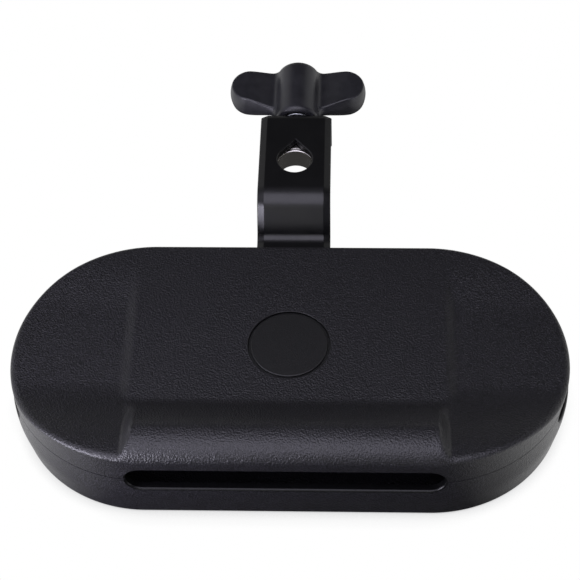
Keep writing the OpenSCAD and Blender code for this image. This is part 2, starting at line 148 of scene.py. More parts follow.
# The wing nut
WING_SPAN = 56.2
BOSS_D = 18.0
BOSS_L = 28.2
BOSS_ROUND = 4.0
BOSS_FILLET = 2.6
WING_TIP_R = 9.0
WING_TIP_T = 10.0
WING_ROOT_T = 4.6
WING_ROOT_R = 2.5
WING_ROOT_X = 3.0
WING_FRONT = 8.0
# A wing thickens from this far out to this far past the centre of its tip
WING_THICKEN_X = 7.0
WING_THICKEN_PAST = 3.0
WING_BELLY = 0.9
WING_CREASE = 0.5
MOUTH_D = 13.2
INSERT_AF = 12.0
INSERT_L = 8.0
WASHER_T = 1.2
NUT_GAP = 0.35
CLAMP_TRAVEL = 5.25

# The screws and their posts
SHELL_SCREW_D = 3.5
SHELL_HEAD_D = 7.0
SHELL_HEAD_H = 2.5
SHELL_SCREW_IN_X = 35.0
SHELL_SCREW_IN_Y = 21.5
POST_SPLIT_Z = 9.0
POST_D = 9.0
POST_ROOF_SHARE = 0.75
PILOT_STOP = 2.0
BRACKET_SCREW_D = 5.0
BRACKET_SCREW_GAP = 16.0
BRACKET_SCREW_IN = 11.5
BRACKET_HEAD_D = 9.5
BRACKET_HEAD_H = 3.0
HEAD_SINK = 0.5
POCKET_LIP = 0.3

# Clearances, and how far a cutting tool stands past what it cuts
SCREW_CLEAR = 0.2
THREAD_CLEAR = 0.05
SHANK_CLEAR = 0.3
WINDOW_CLEAR = 0.15
OVER = 1.0

# Eased edges of the pieces that keep their CAD mesh
INSERT_EASE = 0.25
NUT_EASE = 0.25
FLANGE_WASHER_EASE = 0.3
BRACKET_WASHER_EASE = 0.15
SCREW_EASE = 0.12
EASE_SEGMENTS = 3
EASE_FROM_DEG = 35
WELD_GAP = 0.001

# How finely curved things are drawn: steps in degrees, counts of points or rings, and cells.
# A crowding above 1 puts the rings of a surface closer together near the edge.
ARC_COARSE_DEG = 1.5
ARC_FINE_DEG = 0.5
ARC_FINE_FROM_DEG = 78.0
STRAIGHT_POINTS = 25
EDGE_RINGS = 16
SURFACE_RINGS = 44
SURFACE_CROWDING = 1.25
INNER_EDGE_RINGS = 5
INNER_EDGE_LAST_DEG = 72
INNER_SURFACE_RINGS = 12
INNER_SURFACE_CROWDING = 1.3
BASE_RINGS = 9
WIDEST_RINGS = 9
HOLE_POINTS = 48
SHANK_HOLE_POINTS = 64
TEARDROP_POINTS = 65
BADGE_POINTS = 160
BADGE_RIM_RINGS = 7
SLOT_END_POINTS = 25
SLOT_RUN_POINTS = 15
SLOT_LIP_RINGS = 9
SMALL_LIP_RINGS = 5
LIP_LAST_DEG = 78
BEND_STEPS = 24
STRAP_EDGE_POINTS = 5
STRAP_FACET_POINTS = 4
EYE_CELL = 0.21
EYE_MARGIN = 0.6
GRIP_CELL = 0.3
GRIP_MARGIN = 0.8
# Edges sharper than this stay creased in the shading
SHARP_DEG = 30
EYE_SHARP_DEG = 80
GRIP_SHARP_DEG = 50

# What follows from those sizes
HALF_L = BODY_L / 2
END_R = BODY_W / 2
STRAIGHT = HALF_L - END_R
CREST_Y = END_R - CREST_IN
CLIMB_START = CREST_Y - CLIMB_L
END_SLOT_Z = SEAM_Z - END_SLOT_H / 3
SHELL_PLACES = [
    (sx * (HALF_L - SHELL_SCREW_IN_X), sy * (END_R - SHELL_SCREW_IN_Y))
    for sx in (-1, 1)
    for sy in (-1, 1)
]
BRACKET_PLACES = [(s * BRACKET_SCREW_GAP / 2, END_R - BRACKET_SCREW_IN) for s in (-1, 1)]
BRACKET_POST_D = BRACKET_HEAD_D + WALL / 2

RISER = math.radians(RISER_DEG)
FOOT_BEND_C = FOOT_BEND_R + STRAP_T / 2
PLATE_BEND_C = PLATE_BEND_R - STRAP_T / 2
FLANGE_BEND_C = FLANGE_BEND_R - STRAP_T / 2
BENDS = FOOT_BEND_C + PLATE_BEND_C
RISER_L = (PLATE_TOP - FOOT_TOP - BENDS * (1 - math.cos(RISER))) / math.sin(RISER)
FOOT_END_Y = END_R + FOOT_OUT
PLATE_START_Y = FOOT_END_Y + BENDS * math.sin(RISER) + RISER_L * math.cos(RISER)
ROD_Y = PLATE_START_Y + ROD_HOLE_FROM_BEND
BOLT_Z = PLATE_TOP - STRAP_T - EYE_GAP - EYE_H / 2
FLANGE_BACK_Y = PLATE_START_Y + PLATE_L + FLANGE_BEND_R
NUT_Y = FLANGE_BACK_Y + NUT_GAP
SHANK_END_Y = NUT_Y + WASHER_T + INSERT_L


def smooth(share):
    """A smooth step from 0 to 1."""
    v = np.clip(share, 0, 1)
    return v * v * (3 - 2 * v)


def linear(hex_colour):
    """An sRGB hex colour as linear RGBA."""
    channels = [int(hex_colour[i : i + 2], 16) / 255 for i in (1, 3, 5)]
    return [c / 12.92 if c <= 0.04045 else ((c + 0.055) / 1.055) ** 2.4 for c in channels] + [1.0]


# Finishes

# Pattern sizes and reliefs. The real grain of the moulds and the marks on the steel are a tenth or
# two of a millimetre, too fine to show at this distance, so they are drawn as coarse as they need.
PEBBLES = 0.7
PEBBLE_GRIT = 0.5
PEBBLE_RELIEF = 0.17
STONED_RIPPLE = 0.9
STONED_RELIEF = 0.1
MATT_GRIT = 0.45
MATT_RELIEF = 0.12
ORANGE_PEEL = 1.6
PEEL_RELIEF = 0.1
COAT_CLOUDS = 9.0
FLOW_MOTTLE = 4.5
GRIP_GRAIN = 0.6
GRIP_RELIEF = 0.08
BOLT_MARKS = 0.6
INSERT_MARKS = 0.7
FIXING_MARKS = 0.5
MARK_RELIEF = 0.05


def add(tree, kind, sockets=None, **settings):
    """Adds a node with its settings; sockets are values, or outputs to link."""
    node = tree.nodes.new(kind)
    for name, value in settings.items():
        setattr(node, name, value)
    for name, value in (sockets or {}).items():
        if isinstance(value, bpy.types.NodeSocket):
            tree.links.new(value, node.inputs[name])
        else:
            node.inputs[name].default_value = value
    return node


def finish(name):
    """An empty material with its node tree and the piece's own coordinates."""
    material = bpy.data.materials.new(name)
    material.use_nodes = True
    tree = material.node_tree
    tree.nodes.clear()
    return material, tree, add(tree, "ShaderNodeTexCoord").outputs["Object"]


def per_mm(size):
    """The texture scale that makes a feature this many millimetres wide."""
    return 1 / (size * MM)


def spark_textured_abs():
    """Black ABS from a spark-eroded mould: a fine pebbled skin that breaks up each highlight."""
    material, tree, place = finish("spark_textured_abs")
    pebbles = add(
        tree, "ShaderNodeTexVoronoi",
        {"Vector": place, "Scale": per_mm(PEBBLES), "Smoothness": 0.6, "Randomness": 1.0},
        feature="SMOOTH_F1",
    )
    grit = add(
        tree, "ShaderNodeTexNoise",
        {"Vector": place, "Scale": per_mm(PEBBLE_GRIT), "Detail": 2.0, "Roughness": 0.6},
    )
    relief = add(
        tree, "ShaderNodeMath", {0: pebbles.outputs["Distance"], 1: grit.outputs["Fac"]}, operation="ADD",
    )
    bump = add(
        tree, "ShaderNodeBump",
        {"Height": relief.outputs[0], "Strength": 1.0, "Distance": PEBBLE_RELIEF * MM},
    )
    tone = add(tree, "ShaderNodeValToRGB", {"Fac": grit.outputs["Fac"]})
    tone.color_ramp.elements[0].position = 0.35
    tone.color_ramp.elements[0].color = linear("#040405")
    tone.color_ramp.elements[1].position = 0.65
    tone.color_ramp.elements[1].color = linear("#1f1e23")
    polish = add(
        tree, "ShaderNodeMapRange",
        {"Value": grit.outputs["Fac"], "From Min": 0.3, "From Max": 0.7, "To Min": 0.32, "To Max": 0.4},
    )
    shader = add(
        tree, "ShaderNodeBsdfPrincipled",
        {
            "Base Color": tone.outputs["Color"],
            "Roughness": polish.outputs["Result"],
            "IOR": 1.5,
            "Specular IOR Level": 0.5,
            "Normal": bump.outputs["Normal"],
        },
    )
    add(tree, "ShaderNodeOutputMaterial", {"Surface": shader.outputs[0]})
    return material


def smooth_shaded_abs():
    """The ABS of the cut faces, where the mould is only stoned: satin, with the faintest ripple, and darker
    than the pebbled skin as painted shade inside the slots.
    """
    material, tree, place = finish("smooth_abs_painted_shade")
    ripple = add(
        tree, "ShaderNodeTexNoise",
        {"Vector": place, "Scale": per_mm(STONED_RIPPLE), "Detail": 3.0, "Roughness": 0.6},
    )
    bump = add(
        tree, "ShaderNodeBump",
        {"Height": ripple.outputs["Fac"], "Strength": 0.25, "Distance": STONED_RELIEF * MM},
    )
    polish = add(
        tree, "ShaderNodeMapRange",
        {"Value": ripple.outputs["Fac"], "From Min": 0.3, "From Max": 0.7, "To Min": 0.3, "To Max": 0.4},
    )
    shader = add(
        tree, "ShaderNodeBsdfPrincipled",
        {
            # Painted shade: a darker colour than the same ABS outside, so that the slots' insides read
            # black
            "Base Color": linear("#050506"),
            "Roughness": polish.outputs["Result"],
            "IOR": 1.5,
            "Specular IOR Level": 0.3,
            "Normal": bump.outputs["Normal"],
        },
    )
    add(tree, "ShaderNodeOutputMaterial", {"Surface": shader.outputs[0]})
    return material


def badge_abs():
    """The badge's own ABS, from a finer matt mould: no pebbles, a soft even sheen."""
    material, tree, place = finish("fine_matt_abs")
    grit = add(
        tree, "ShaderNodeTexNoise",
        {"Vector": place, "Scale": per_mm(MATT_GRIT), "Detail": 2.0, "Roughness": 0.6},
    )
    bump = add(
        tree, "ShaderNodeBump",
        {"Height": grit.outputs["Fac"], "Strength": 0.6, "Distance": MATT_RELIEF * MM},
    )
    polish = add(
        tree, "ShaderNodeMapRange",
        {"Value": grit.outputs["Fac"], "From Min": 0.3, "From Max": 0.7, "To Min": 0.42, "To Max": 0.52},
    )
    shader = add(
        tree, "ShaderNodeBsdfPrincipled",
        {
            "Base Color": linear("#060607"),
            "Roughness": polish.outputs["Result"],
            "IOR": 1.5,
            "Specular IOR Level": 0.5,
            "Normal": bump.outputs["Normal"],
        },
    )
    add(tree, "ShaderNodeOutputMaterial", {"Surface": shader.outputs[0]})
    return material


def powder_coat():
    """Steel strap under gloss black powder coat: deep black, soft-edged lights, slight orange peel."""
    material, tree, place = finish("gloss_black_powder_coat")
    peel = add(
        tree, "ShaderNodeTexNoise",
        {"Vector": place, "Scale": per_mm(ORANGE_PEEL), "Detail": 1.0, "Roughness": 0.4},
    )
    bump = add(
        tree, "ShaderNodeBump",
        {"Height": peel.outputs["Fac"], "Strength": 0.12, "Distance": PEEL_RELIEF * MM},
    )
    clouds = add(
        tree, "ShaderNodeTexNoise",
        {"Vector": place, "Scale": per_mm(COAT_CLOUDS), "Detail": 4.0, "Roughness": 0.6},
    )
    polish = add(
        tree, "ShaderNodeMapRange",
        {"Value": clouds.outputs["Fac"], "From Min": 0.35, "From Max": 0.7, "To Min": 0.28, "To Max": 0.36},
    )
    shader = add(
        tree, "ShaderNodeBsdfPrincipled",
        {
            "Base Color": linear("#09090b"),
            "Roughness": polish.outputs["Result"],
            "IOR": 1.5,
            "Specular IOR Level": 0.42,
            "Normal": bump.outputs["Normal"],
        },
    )
    add(tree, "ShaderNodeOutputMaterial", {"Surface": shader.outputs[0]})
    return material


def moulded_nylon():
    """Glass-filled black nylon of the grip: satin, with a soft flow mottle from the mould."""
    material, tree, place = finish("glass_filled_nylon")
    mottle = add(
        tree, "ShaderNodeTexNoise",
        {"Vector": place, "Scale": per_mm(FLOW_MOTTLE), "Detail": 4.0, "Roughness": 0.6},
    )
    grain = add(
        tree, "ShaderNodeTexNoise",
        {"Vector": place, "Scale": per_mm(GRIP_GRAIN), "Detail": 2.0, "Roughness": 0.5},
    )
    bump = add(
        tree, "ShaderNodeBump",
        {"Height": grain.outputs["Fac"], "Strength": 0.3, "Distance": GRIP_RELIEF * MM},
    )
    tone = add(tree, "ShaderNodeValToRGB", {"Fac": mottle.outputs["Fac"]})
    tone.color_ramp.elements[0].position = 0.3
    tone.color_ramp.elements[0].color = linear("#202024")
    tone.color_ramp.elements[1].position = 0.7
    tone.color_ramp.elements[1].color = linear("#29292d")
    polish = add(
        tree, "ShaderNodeMapRange",
        {"Value": mottle.outputs["Fac"], "From Min": 0.3, "From Max": 0.7, "To Min": 0.32, "To Max": 0.42},
    )
    shader = add(
        tree, "ShaderNodeBsdfPrincipled",
        {
            "Base Color": tone.outputs["Color"],
            "Roughness": polish.outputs["Result"],
            "IOR": 1.53,
            "Specular IOR Level": 0.4,
            "Normal": bump.outputs["Normal"],
        },
    )
    add(tree, "ShaderNodeOutputMaterial", {"Surface": shader.outputs[0]})
    return material


def plated_steel(name, colour, least, most, marks_size):
    """Plated steel: a metal whose fine turning or rolling marks soften its lights."""
    material, tree, place = finish(name)
    marks = add(
        tree, "ShaderNodeTexNoise",
        {"Vector": place, "Scale": per_mm(marks_size), "Detail": 3.0, "Roughness": 0.65},
    )
    bump = add(
        tree, "ShaderNodeBump",
        {"Height": marks.outputs["Fac"], "Strength": 0.2, "Distance": MARK_RELIEF * MM},
    )
    polish = add(
        tree, "ShaderNodeMapRange",
        {"Value": marks.outputs["Fac"], "From Min": 0.3, "From Max": 0.7, "To Min": least, "To Max": most},
    )
    shader = add(
        tree, "ShaderNodeBsdfPrincipled",
        {
            "Base Color": linear(colour),
            "Metallic": 1.0,
            "Roughness": polish.outputs["Result"],
            "Normal": bump.outputs["Normal"],
        },
    )
    add(tree, "ShaderNodeOutputMaterial", {"Surface": shader.outputs[0]})
    return material


BODY_SKIN = spark_textured_abs()
SHADED_SMOOTH_SKIN = smooth_shaded_abs()
BADGE_SKIN = badge_abs()
COAT = powder_coat()
GRIP_SKIN = moulded_nylon()
# The eye bolt's warm bright plating, the insert's plain nickel, and the greyer zinc of the fixings
CHROMED = plated_steel("nickel_chrome_plated_steel", "#c6c3bf", 0.14, 0.24, BOLT_MARKS)
NICKEL = plated_steel("nickel_plated_steel", "#cfccc6", 0.16, 0.26, INSERT_MARKS)
ZINC = plated_steel("zinc_plated_steel", "#b9bcc0", 0.26, 0.4, FIXING_MARKS)


# Mesh work


def solid(name, points, faces, *materials):
    """A closed piece from points in millimetres, its faces turned outwards."""
    mesh = bpy.data.meshes.new(name)
    mesh.from_pydata((np.asarray(points, float) * MM).tolist(), [], [list(map(int, f)) for f in faces])
    work = bmesh.new()
    work.from_mesh(mesh)
    bmesh.ops.recalc_face_normals(work, faces=work.faces)
    work.to_mesh(mesh)
    work.free()
    for material in materials:
        mesh.materials.append(material)
    obj = bpy.data.objects.new(name, mesh)
    bpy.context.scene.collection.objects.link(obj)
    return obj


def joined(parts):
    """Several (points, faces) as one."""
    points = []
    faces = []
    for part_points, part_faces in parts:
        start = len(points)
        points.extend(np.asarray(part_points).tolist())
        faces.extend([[start + i for i in face] for face in part_faces])
    return points, faces


def combine(obj, parts, operation, material):
    """Cuts the parts out of a piece, or joins them to it; new faces take the material."""
    tool = solid("tool", *joined(parts), material)
    modifier = obj.modifiers.new("combine", "BOOLEAN")
    modifier.operation = operation
    modifier.solver = "EXACT"
    modifier.material_mode = "TRANSFER"
    modifier.object = tool
    shaped = obj.evaluated_get(bpy.context.evaluated_depsgraph_get())
    mesh = bpy.data.meshes.new_from_object(shaped)
    obj.modifiers.clear()
    obj.data = mesh
    bpy.data.objects.remove(tool)


def soften(obj, sharp_deg):
    """Smooth shading that keeps the creases, with the broad faces leading the narrow ones."""
    obj.data.shade_smooth()
    obj.data.set_sharp_from_angle(angle=math.radians(sharp_deg))
    modifier = obj.modifiers.new("broad_faces_lead", "WEIGHTED_NORMAL")
    modifier.keep_sharp = True


def dress(obj, body, node, sharp_deg=SHARP_DEG):
    """Shades a new piece, puts it on its body and lets it stand for its CAD node."""
    soften(obj, sharp_deg)
    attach(obj, body)
    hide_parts(node)


def skin(rings, first_cap, last_cap):
    """Faces between rings of equal length, with the caps' own faces."""
    n = len(rings[0])
    faces = []
    for k in range(len(rings) - 1):
        for i in range(n):
            j = (i + 1) % n
            faces.append([k * n + i, k * n + j, (k + 1) * n + j, (k + 1) * n + i])
    last = (len(rings) - 1) * n
    faces += first_cap + [[last + i for i in face] for face in last_cap]
    return np.concatenate(rings), faces


def plug(outline, rows, place):
    """A closed tool through rows of (level, growth): the outline grown by growth, put at level."""
    rings = []
    for level, growth in rows:
        u, v = outline(growth)
        rings.append(np.stack(np.broadcast_arrays(*place(u, v, level)), axis=1))
    whole = [list(range(len(rings[0])))]
    return skin(rings, whole, whole)


def round_outline(radius, count):
    """A circle that plug can grow."""
    angles = np.arange(count) * 2 * math.pi / count
    return lambda growth: ((radius + growth) * np.cos(angles), (radius + growth) * np.sin(angles))


def lip_rows(radius, count):
    """(depth, growth) down a rounded lip, from just short of the face inwards."""
    angles = np.radians(np.linspace(LIP_LAST_DEG, 0, count))
    return [(radius * (1 - math.sin(a)), radius * (1 - math.cos(a))) for a in angles]


def upright(x, y):
    """Puts a plug's outline flat, round a point, with its levels along Z."""
    return lambda u, v, level: (x + u, y + v, level)


# The body's outline and playing surface


def outline_stations():
    """The outline as arc centres and angles: left tip, front, right tip, back. Finer near the straight."""
    coarse = np.arange(0, ARC_FINE_FROM_DEG, ARC_COARSE_DEG)
    fine = np.arange(ARC_FINE_FROM_DEG, 90, ARC_FINE_DEG)
    quarter = np.concatenate([coarse, fine])
    left = np.full(len(quarter), -STRAIGHT)
    centre = np.concatenate([left, np.linspace(-STRAIGHT, STRAIGHT, STRAIGHT_POINTS), -left])
    angle = np.concatenate([180 + quarter, np.full(STRAIGHT_POINTS, 270.0), 360 - quarter[::-1]])
    half = len(centre)
    centre = np.concatenate([centre, centre[half - 2 : 0 : -1]])
    angle = np.concatenate([angle, 360 - angle[half - 2 : 0 : -1]])
    return centre, np.radians(angle), half


STATION_X, STATION_A, STATION_HALF = outline_stations()


def inset(s):
    """The outline's points, moved in by s."""
    return STATION_X + (END_R - s) * np.cos(STATION_A), (END_R - s) * np.sin(STATION_A)


def climb(share):
    """The climb to the crest: a short hollow start, a straight slope, a round end."""
    gain = 1 / (CLIMB_OUT_SHARE - CLIMB_IN_SHARE / 2 + (1 - CLIMB_OUT_SHARE) / 2)
    v = np.clip(share, 0, 1)
    start = gain * v * v / (2 * CLIMB_IN_SHARE)
    slope = gain * (v - CLIMB_IN_SHARE / 2)
    end = 1 - gain * (1 - v) ** 2 / (2 * (1 - CLIMB_OUT_SHARE))
    return np.where(v < CLIMB_IN_SHARE, start, np.where(v < CLIMB_OUT_SHARE, slope, end))


def in_end(x, y):
    """How far a place belongs to the lower ends: 0 in the middle, 1 in an end."""
    half = MIDDLE_HALF_L + MIDDLE_LONGER * smooth((y - LONGER_START_Y) / LONGER_BLEND)
    return smooth((np.abs(x) - half + MIDDLE_BLEND / 2) / MIDDLE_BLEND)


def surface_z(x, y):
    """Height of the playing surface, without its rounded edge."""
    end = in_end(x, y)
    ridge = RIDGE_RISE * climb((-y - CLIMB_START) / (CREST_Y - CLIMB_START))
    dish = (END_DROP + END_RISE) * smooth((-y - END_START) / (END_CREST - END_START))
    drop = END_DROP * (1 - smooth((y - DROP_FADE_Y) / DROP_FADE_L))
    return TOP_Z + ridge * (1 - end) + (dish - drop) * end


def edge_radius(depth):
    """The radius of the top's rounded edge at each point of the outline, or of its inner side."""
    x, y = inset(TOP_INSET)
    front = EDGE_ROUND + (RIDGE_ROUND - EDGE_ROUND) * (1 - in_end(x, y))
    rear = EDGE_ROUND + (REAR_EDGE_ROUND - EDGE_ROUND) * smooth(y / (END_R / 2))
    return np.maximum(np.where(y < 0, front, rear) - depth * EDGE_INNER_SHARE, REAR_EDGE_ROUND / 4)


def round_ring(deg, depth):
    """A ring of the rounded top edge: 0 on the wall, 90 on the surface."""
    a = math.radians(deg)
    r = edge_radius(depth)
    x, y = inset(TOP_INSET + depth + r * (1 - math.cos(a)))
    drop = depth + EDGE_HEIGHT_SHARE * r * (1 - math.sin(a))
    return np.stack([x, y, surface_z(x, y) - drop], axis=1)


def surface_ring(share, depth):
    """A ring on the surface: 0 at the rounded edge, 1 at the innermost ring."""
    s = TOP_INSET + depth + edge_radius(depth)
    x, y = inset(s + (END_R - INNER_RING_R - s) * share)
    return np.stack([x, y, surface_z(x, y) - depth], axis=1)


def level_ring(z, s):
    """A flat ring at height z, moved in by s."""
    x, y = inset(s)
    return np.stack([x, y, np.full(len(x), z)], axis=1)


def strip_cap():
    """Faces straight across a ring, from the front to the back."""
    n = len(STATION_X)
    half = STATION_HALF
    middle = [[i, i + 1, n - i - 1, n - i] for i in range(1, half - 2)]
    return [[0, 1, n - 1]] + middle + [[half - 2, half - 1, half]]


def ring_shares(count, power):
    """Shares from 0 to 1 that lie closer together near 0."""
    return (np.arange(count + 1) / count) ** power


# The body's wall, and the tools that open it


def wall_inset(z):
    """How far the outer wall stands inside the widest outline."""
    z = np.asarray(z, float)
    foot_slope = BASE_INSET / (WIDEST_Z - BASE_ROUND)
    seam_slope = SEAM_INSET / (SEAM_Z - WIDEST_Z)
    below = np.maximum(WIDEST_Z - z, 0) * foot_slope
    above = np.maximum(z - WIDEST_Z, 0) * seam_slope
    t = np.clip(1 - np.abs(z - WIDEST_Z) / WIDEST_BLEND, 0, 1)
    turn = (foot_slope + seam_slope) * WIDEST_BLEND / 4 * t * t
    upper = (TOP_INSET - SEAM_INSET) * np.clip((z - SEAM_Z) / (TOP_Z - SEAM_Z), 0, 1)
    return np.where(z > SEAM_Z, SEAM_INSET + upper, below + above + turn)


def slot_outline(length, height):
    """A slot with round ends that plug can grow."""
    half = (length - height) / 2
    turn = np.radians(np.linspace(-90, 90, SLOT_END_POINTS))
    run = np.linspace(-half, half, SLOT_RUN_POINTS)[1:-1]

    def grown(growth):
        r = height / 2 + growth
        u = np.concatenate([half + r * np.cos(turn), run[::-1], -half - r * np.cos(turn), run])
        v = np.concatenate(
            [r * np.sin(turn), np.full(len(run), r), -r * np.sin(turn), np.full(len(run), -r)]
        )
        return u, v

    return grown


def front_wall_y(x, z):
    """Where the front wall's outer face is."""
    r = END_R - wall_inset(z)
    beyond = np.maximum(np.abs(x) - STRAIGHT, 0)
    return -np.sqrt(r * r - beyond * beyond)


def end_wall_x(y, z):
    """Where the right end's outer face is."""
    r = END_R - wall_inset(z)
    return STRAIGHT + np.sqrt(r * r - y * y)


def slot_plugs():
    """The tools for the three slots, with a rounded lip that follows the wall."""
    deep = WALL + RIDGE_ROUND - OVER
    lip = lip_rows(SLOT_LIP, SLOT_LIP_RINGS)
    rows = [(-SLOT_TOOL_OUT, lip[0][1])] + lip + [(deep, 0.0)]

    def front(u, v, level):
        z = SEAM_Z + v
        if level in (-SLOT_TOOL_OUT, deep):
            return u, np.full(len(u), -END_R + level), z
        return u, front_wall_y(u, z) + level, z

    def end(side):
        def placed(u, v, level):
            z = END_SLOT_Z + v
            if level in (-SLOT_TOOL_OUT, deep):
                return np.full(len(u), side * (HALF_L - level)), u, z
            return side * (end_wall_x(u, z) - level), u, z

        return placed

    long_slot = plug(slot_outline(SLOT_L, SLOT_H), rows, front)
    short = slot_outline(END_SLOT_L, END_SLOT_H)
    return [long_slot, plug(short, rows, end(-1)), plug(short, rows, end(1))]


def post(place, d, low, high):
    """An upright round bar, to join or to cut."""
    return plug(round_outline(d / 2, HOLE_POINTS), [(low, 0.0), (high, 0.0)], upright(*place))


def screw_pocket(place, d, head_d, head_h, top):
    """A clearance hole with a round pocket for the head, open below the base."""
    step = (head_d - d) / 2
    mouth = step + POCKET_LIP
    seat = HEAD_SINK + head_h
    rows = [(-OVER, mouth), (0.0, mouth), (POCKET_LIP, step), (seat, step), (seat, 0.0), (top, 0.0)]
    return plug(round_outline(d / 2 + SCREW_CLEAR, HOLE_POINTS), rows, upright(*place))


def box_part(low, high):
    """A box from corner to corner."""
    corners = [(x, y, z) for x in (low[0], high[0]) for y in (low[1], high[1]) for z in (low[2], high[2])]
    faces = [[0, 1, 3, 2], [4, 6, 7, 5], [0, 4, 5, 1], [2, 3, 7, 6], [0, 2, 6, 4], [1, 5, 7, 3]]
    return np.array(corners, float), faces


# The body's pieces


def upper_shell():
    """The upper moulding: inside, seam, rounded edge and playing surface, then posts and cuts."""
    shares = ring_shares(INNER_SURFACE_RINGS, INNER_SURFACE_CROWDING)
    rings = [surface_ring(t, WALL) for t in shares[::-1]]
    rings += [round_ring(a, WALL) for a in np.linspace(INNER_EDGE_LAST_DEG, 0, INNER_EDGE_RINGS)]
    rings += [
        level_ring(SEAM_Z, SEAM_INSET + WALL),
        level_ring(SEAM_Z, SEAM_INSET + SEAM_DEPTH),
        level_ring(SEAM_Z + SEAM_SLIT, SEAM_INSET + SEAM_DEPTH),
        level_ring(SEAM_Z + SEAM_SLIT, SEAM_INSET),
    ]
    rings += [round_ring(a, 0) for a in np.linspace(0, 90, EDGE_RINGS)[:-1]]
    rings += [surface_ring(t, 0) for t in ring_shares(SURFACE_RINGS, SURFACE_CROWDING)]
    cap = strip_cap()
    shell = solid("upper_shell_moulding", *skin(rings, cap, cap), BODY_SKIN)
    posts = []
    pilots = []
    for place in SHELL_PLACES:
        top = float(surface_z(*map(np.float64, place))) - WALL * POST_ROOF_SHARE
        posts.append(post(place, POST_D, POST_SPLIT_Z, top))
        pilots.append(
            post(place, SHELL_SCREW_D + 2 * THREAD_CLEAR, POST_SPLIT_Z - OVER, SEAM_Z - PILOT_STOP)
        )
    combine(shell, posts, "UNION", SHADED_SMOOTH_SKIN)
    lip = [(TOP_Z - depth, growth) for depth, growth in lip_rows(BADGE_LIP, SMALL_LIP_RINGS)]
    recess = [(TOP_Z + OVER, lip[0][1])] + lip + [(TOP_Z - BADGE_DEPTH, 0.0)]
    recess = plug(round_outline(BADGE_D / 2, BADGE_POINTS), recess, upright(0, BADGE_Y))
    combine(shell, slot_plugs() + [recess] + pilots, "DIFFERENCE", SHADED_SMOOTH_SKIN)
    dress(shell, "block", "upper_shell")


def lower_shell():
    """The lower moulding: rounded base, wall, seam and inside, then posts and cuts."""
    widest = np.linspace(WIDEST_Z - WIDEST_BLEND, WIDEST_Z + WIDEST_BLEND, WIDEST_RINGS)
    rings = [
        level_ring(BASE_ROUND * (1 - math.cos(a)), BASE_INSET + BASE_ROUND * (1 - math.sin(a)))
        for a in np.radians(np.linspace(0, 90, BASE_RINGS))
    ]
    rings += [level_ring(z, float(wall_inset(z))) for z in (LOW_RING_Z, *widest, HIGH_RING_Z)]
    rings += [
        level_ring(SEAM_Z - SEAM_SLIT, SEAM_INSET),
        level_ring(SEAM_Z - SEAM_SLIT, SEAM_INSET + SEAM_DEPTH),
        level_ring(SEAM_Z, SEAM_INSET + SEAM_DEPTH),
        level_ring(SEAM_Z, SEAM_INSET + WALL),
        level_ring(WIDEST_Z, WALL),
        level_ring(WALL + BASE_ROUND / 2, BASE_INSET + WALL),
        level_ring(WALL, BASE_INSET + WALL + BASE_ROUND / 2),
    ]
    cap = strip_cap()
    shell = solid("lower_shell_moulding", *skin(rings, cap, cap), BODY_SKIN)
    posts = [post(p, POST_D, WALL / 2, POST_SPLIT_Z) for p in SHELL_PLACES]
    posts += [post(p, BRACKET_POST_D, WALL / 2, FOOT_TOP - STRAP_T) for p in BRACKET_PLACES]
    combine(shell, posts, "UNION", SHADED_SMOOTH_SKIN)
    width = STRAP_FOOT_W / 2 + WINDOW_CLEAR
    window = box_part(
        (-width, END_R - 2 * WALL, FOOT_TOP - STRAP_T - WINDOW_CLEAR),
        (width, END_R + OVER, FOOT_TOP + WINDOW_CLEAR),
    )
    tools = slot_plugs() + [window]
    for p in SHELL_PLACES:
        tools.append(screw_pocket(p, SHELL_SCREW_D, SHELL_HEAD_D, SHELL_HEAD_H, POST_SPLIT_Z + OVER))
    for p in BRACKET_PLACES:
        tools.append(screw_pocket(p, BRACKET_SCREW_D, BRACKET_HEAD_D, BRACKET_HEAD_H, FOOT_TOP))
    combine(shell, tools, "DIFFERENCE", SHADED_SMOOTH_SKIN)
    dress(shell, "block", "lower_shell")


def badge_disc():
    """A plain disc with a softly rounded rim and a ring groove round it."""
    outer = BADGE_D / 2 - BADGE_CLEAR
    inner = BADGE_D / 2 - BADGE_GROOVE
    floor = BADGE_DEPTH - BADGE_GROOVE_DEPTH
    rows = [(0.0, outer), (floor, outer), (floor, inner)]
    for a in np.radians(np.linspace(0, 90, BADGE_RIM_RINGS)):
        rows.append((BADGE_DEPTH - BADGE_RIM * (1 - math.sin(a)), inner - BADGE_RIM * (1 - math.cos(a))))
    rows = [(TOP_Z - BADGE_DEPTH + level, radius) for level, radius in rows]
    form = plug(round_outline(0.0, BADGE_POINTS), rows, upright(0, BADGE_Y))
    dress(solid("badge_disc", *form, BADGE_SKIN), "block", "badge")


# The strap


def strap_line():
    """Stations along the strap's centre line: y, z, heading, distance run."""
    y, z, heading, run = FOOT_END_Y - FOOT_L, FOOT_TOP - STRAP_T / 2, 0.0, 0.0
    legs = [FOOT_L, RISER_L, PLATE_L, FLANGE_H - FLANGE_BEND_R]
    bends = [(RISER, FOOT_BEND_C), (-RISER, PLATE_BEND_C), (-math.pi / 2, FLANGE_BEND_C), None]
    line = [(y, z, heading, run)]
    for leg, bend in zip(legs, bends):
        y += leg * math.cos(heading)
        z += leg * math.sin(heading)
        run += leg
        line.append((y, z, heading, run))
        if bend is None:
            break
        turn, radius = bend
        side = math.copysign(1, turn)
        y0, z0, h0, run0 = y, z, heading, run
        for i in range(1, BEND_STEPS + 1):
            heading = h0 + turn * i / BEND_STEPS
            y = y0 + side * radius * (math.sin(heading) - math.sin(h0))
            z = z0 - side * radius * (math.cos(heading) - math.cos(h0))
            run = run0 + radius * abs(turn) * i / BEND_STEPS
            line.append((y, z, heading, run))
    return line


